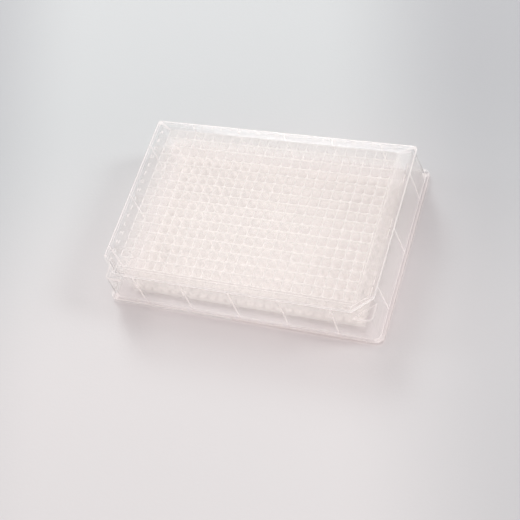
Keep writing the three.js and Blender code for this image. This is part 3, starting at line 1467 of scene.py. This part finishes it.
@dataclass
class WellPlate:
    """The whole moulding."""

    sizes: PlateSizes
    grain: bpy.types.NodeTree
    smooth_angle: float = math.radians(38)
    edge_width: float = 0.4 * MM
    rib_width: float = 0.9 * MM
    rib_height: float = 10.0 * MM
    bead_reach: float = 0.4 * MM
    bead_width: float = 0.7 * MM
    square_on: float = 0.995
    tilted: float = 0.9
    floor_depth: float = 1.5 * MM

    def build(self) -> bpy.types.Object:
        """Build, join and dress the moulding.

        Returns:
            The finished piece, riding on the frame's root body.
        """
        material = ClearPolypropylene().build(self.grain)
        skirt = Skirt(self.sizes).build()
        wells = WellGrid(self.sizes).build(material)
        body = merged("well_plate_moulding", [skirt, wells])
        weld(body)
        report("skirt and wells", body)
        for title, piece in (
            ("stiffeners", Stiffeners(self.sizes).build(material)),
            ("shelf beads", ShelfBeads(self.sizes).build()),
            ("characters", Characters(self.sizes).build()),
        ):
            fuse(body, piece)
            report(f"with {title}", body)
        body.data.materials.clear()
        body.data.materials.append(material)
        body.data.shade_smooth()
        body.data.set_sharp_from_angle(angle=self.smooth_angle)
        self._mark(body.data)
        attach(body, "root")
        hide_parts(NODE)
        return body

    def _mark(self, mesh: bpy.types.Mesh) -> None:
        """Mark the faces that look different: thin edges and well lips, which carry painted
        highlights, and the other parts of the wells.

        Args:
            mesh: Mesh of the whole moulding.
        """
        s = self.sizes
        lowest = s.block_bottom + self.floor_depth
        low = s.shelf - s.skirt_thickness - self.edge_width
        high = s.deck_underside - self.edge_width

        def in_field(face: bpy.types.MeshPolygon) -> bool:
            """Say whether a face lies in the well field or on the outside of its block."""
            reach = (s.block_skin if face.center.z < s.deck_underside else -WELD) + WELD
            return abs(face.center.x) < s.field.x + reach and abs(face.center.y) < s.field.y + reach

        def notched(face: bpy.types.MeshPolygon) -> bool:
            """Say whether a face lies in one of the notched corners."""
            return abs(face.center.x) - face.center.y > s.notch_cut(s.deck_overhang)

        def thin(face: bpy.types.MeshPolygon) -> bool:
            """Say whether a face is a rounded edge, the deck's rim, a rib's edge or a character.

            Args:
                face: A face of the mesh.

            Returns:
                True if it is one of these.
            """
            if low < face.center.z < high and not notched(face):
                return False
            heights = [mesh.vertices[index].co.z for index in face.vertices]
            if max(heights) - min(heights) > self.rib_height:
                upright = max(abs(face.normal.x), abs(face.normal.y)) > self.square_on
                return upright and face_width(mesh, face) < self.rib_width
            on_bead = notched(face) and abs(face.center.z - s.shelf) < self.bead_reach
            raised = face.center.z > s.height + WELD
            rim = face.center.z > s.deck_underside + WELD and abs(face.normal.z) < self.tilted
            widest = self.bead_width if on_bead else self.edge_width
            return raised or rim or face_width(mesh, face) < widest

        mark_faces(mesh, Mask.WELL, in_field)
        mark_faces(mesh, Mask.FLOOR, lambda face: in_field(face) and face.center.z < lowest)
        # Well lips, the tops of the well walls: given a painted highlight in the material.
        mark_faces(mesh, Mask.LIP, lambda face: in_field(face) and face.center.z > s.deck_underside
                   and face.normal.z > self.tilted)
        # Thin edges, rib faces, shelf beads and raised characters: given a painted highlight in the
        # material, a whiter tint and denser milk.
        mark_faces(mesh, Mask.EDGE, lambda face: not in_field(face) and thin(face))


# ---------------------------------------------------------------------------
# Studio
# ---------------------------------------------------------------------------


@dataclass(frozen=True)
class Softbox:
    """A square soft light that faces the plate.

    Its turn is counted from straight behind the plate, positive to the right, and its rise
    from the floor, both in degrees.
    """

    name: str
    turn: float
    rise: float
    size: float
    power: float
    distance: float = 1.2
    mirrored: bool = True

    def build(self) -> None:
        """Hang the light in its place."""
        data = bpy.data.lights.new(self.name, "AREA")
        data.shape = "SQUARE"
        data.size = self.size
        data.energy = self.power
        lamp = linked(bpy.data.objects.new(self.name, data))
        lamp.visible_glossy = self.mirrored
        turn, rise = math.radians(self.turn), math.radians(self.rise)
        away = Vector((
            math.cos(rise) * math.sin(turn), math.cos(rise) * math.cos(turn), math.sin(rise),
        ))
        lamp.location = away * self.distance
        lamp.rotation_euler = away.to_track_quat("Z", "Y").to_euler()


@dataclass
class Studio:
    """Floor, lights and camera."""

    grain: bpy.types.NodeTree
    floor_half: float = 6.0
    camera_turn: float = math.radians(42.46)
    camera_rise: float = math.radians(56.28)
    camera_roll: float = math.radians(-28.92)
    camera_distance: float = 0.48085
    aim: Point = (0.00452, -0.01778, 0.012)
    lens: float = 77.79
    near_clip: float = 0.01
    side_air: float = 1.53
    top_air: float = 0.14
    seen_air: float = 0.72
    see_through_layers: int = 96

    def build(self) -> None:
        """Build the studio."""
        self._floor()
        self._camera()
        self._world()
        Softbox("key", turn=-30, rise=35, size=0.3, power=5.3, mirrored=False).build()
        Softbox("rear_light", turn=-27, rise=46, size=0.4, power=3.0).build()
        Softbox("left_fill", turn=-90, rise=30, size=0.3, power=2.3, mirrored=False).build()
        Softbox("right_fill", turn=70, rise=35, size=0.3, power=6.1, mirrored=False).build()
        bpy.context.scene.cycles.transparent_max_bounces = self.see_through_layers

    def _floor(self) -> None:
        """Lay a wide flat floor under the plate."""
        half = self.floor_half
        floor = mesh_object(
            "studio_floor",
            [(-half, -half, 0.0), (half, -half, 0.0), (half, half, 0.0), (-half, half, 0.0)],
            [(0, 1, 2, 3)],
        )
        floor.data.materials.append(StudioPaper().build(self.grain))

    def _camera(self) -> None:
        """Aim the camera."""
        data = bpy.data.cameras.new("camera")
        data.lens = self.lens
        data.clip_start = self.near_clip
        camera = linked(bpy.data.objects.new("camera", data))
        back = Vector((
            math.cos(self.camera_rise) * math.sin(self.camera_turn),
            -math.cos(self.camera_rise) * math.cos(self.camera_turn),
            math.sin(self.camera_rise),
        ))
        place = Vector(self.aim) + back * self.camera_distance
        level = back.to_track_quat("Z", "Y").to_matrix()
        turn = Matrix.Rotation(self.camera_roll, 3, "Z")
        camera.matrix_world = Matrix.Translation(place) @ (level @ turn).to_4x4()
        bpy.context.scene.camera = camera

    def _world(self) -> None:
        """Light the scene from all round, more from the sides than from above."""
        world = bpy.data.worlds.new("studio_air")
        world.use_nodes = True
        made = NodeBuilder(world.node_tree)
        parts = made.node("ShaderNodeSeparateXYZ")
        made.feed(parts.inputs["Vector"], made.node("ShaderNodeTexCoord").outputs["Generated"])
        air = made.mix(parts.outputs["Z"], self.side_air, self.top_air)
        path = made.node("ShaderNodeLightPath")
        shown = made.math("MAXIMUM", path.outputs["Is Camera Ray"], path.outputs["Is Glossy Ray"])
        background = made.tree.nodes["Background"]
        background.inputs["Color"].default_value = (*WHITE, 1.0)
        made.feed(background.inputs["Strength"], made.mix(shown, air, self.seen_air))
        bpy.context.scene.world = world


def main() -> None:
    """Build the plate and its studio."""
    logging.basicConfig(level=logging.INFO, format="%(name)s: %(message)s")
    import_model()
    grain = surface_grain()
    plate = WellPlate(PlateSizes.from_frame(), grain).build()
    log.info("%s: %d faces", plate.name, len(plate.data.polygons))
    Studio(grain).build()
    bpy.context.scene.view_settings.view_transform = "Standard"


if __name__ == "__main__":
    main()
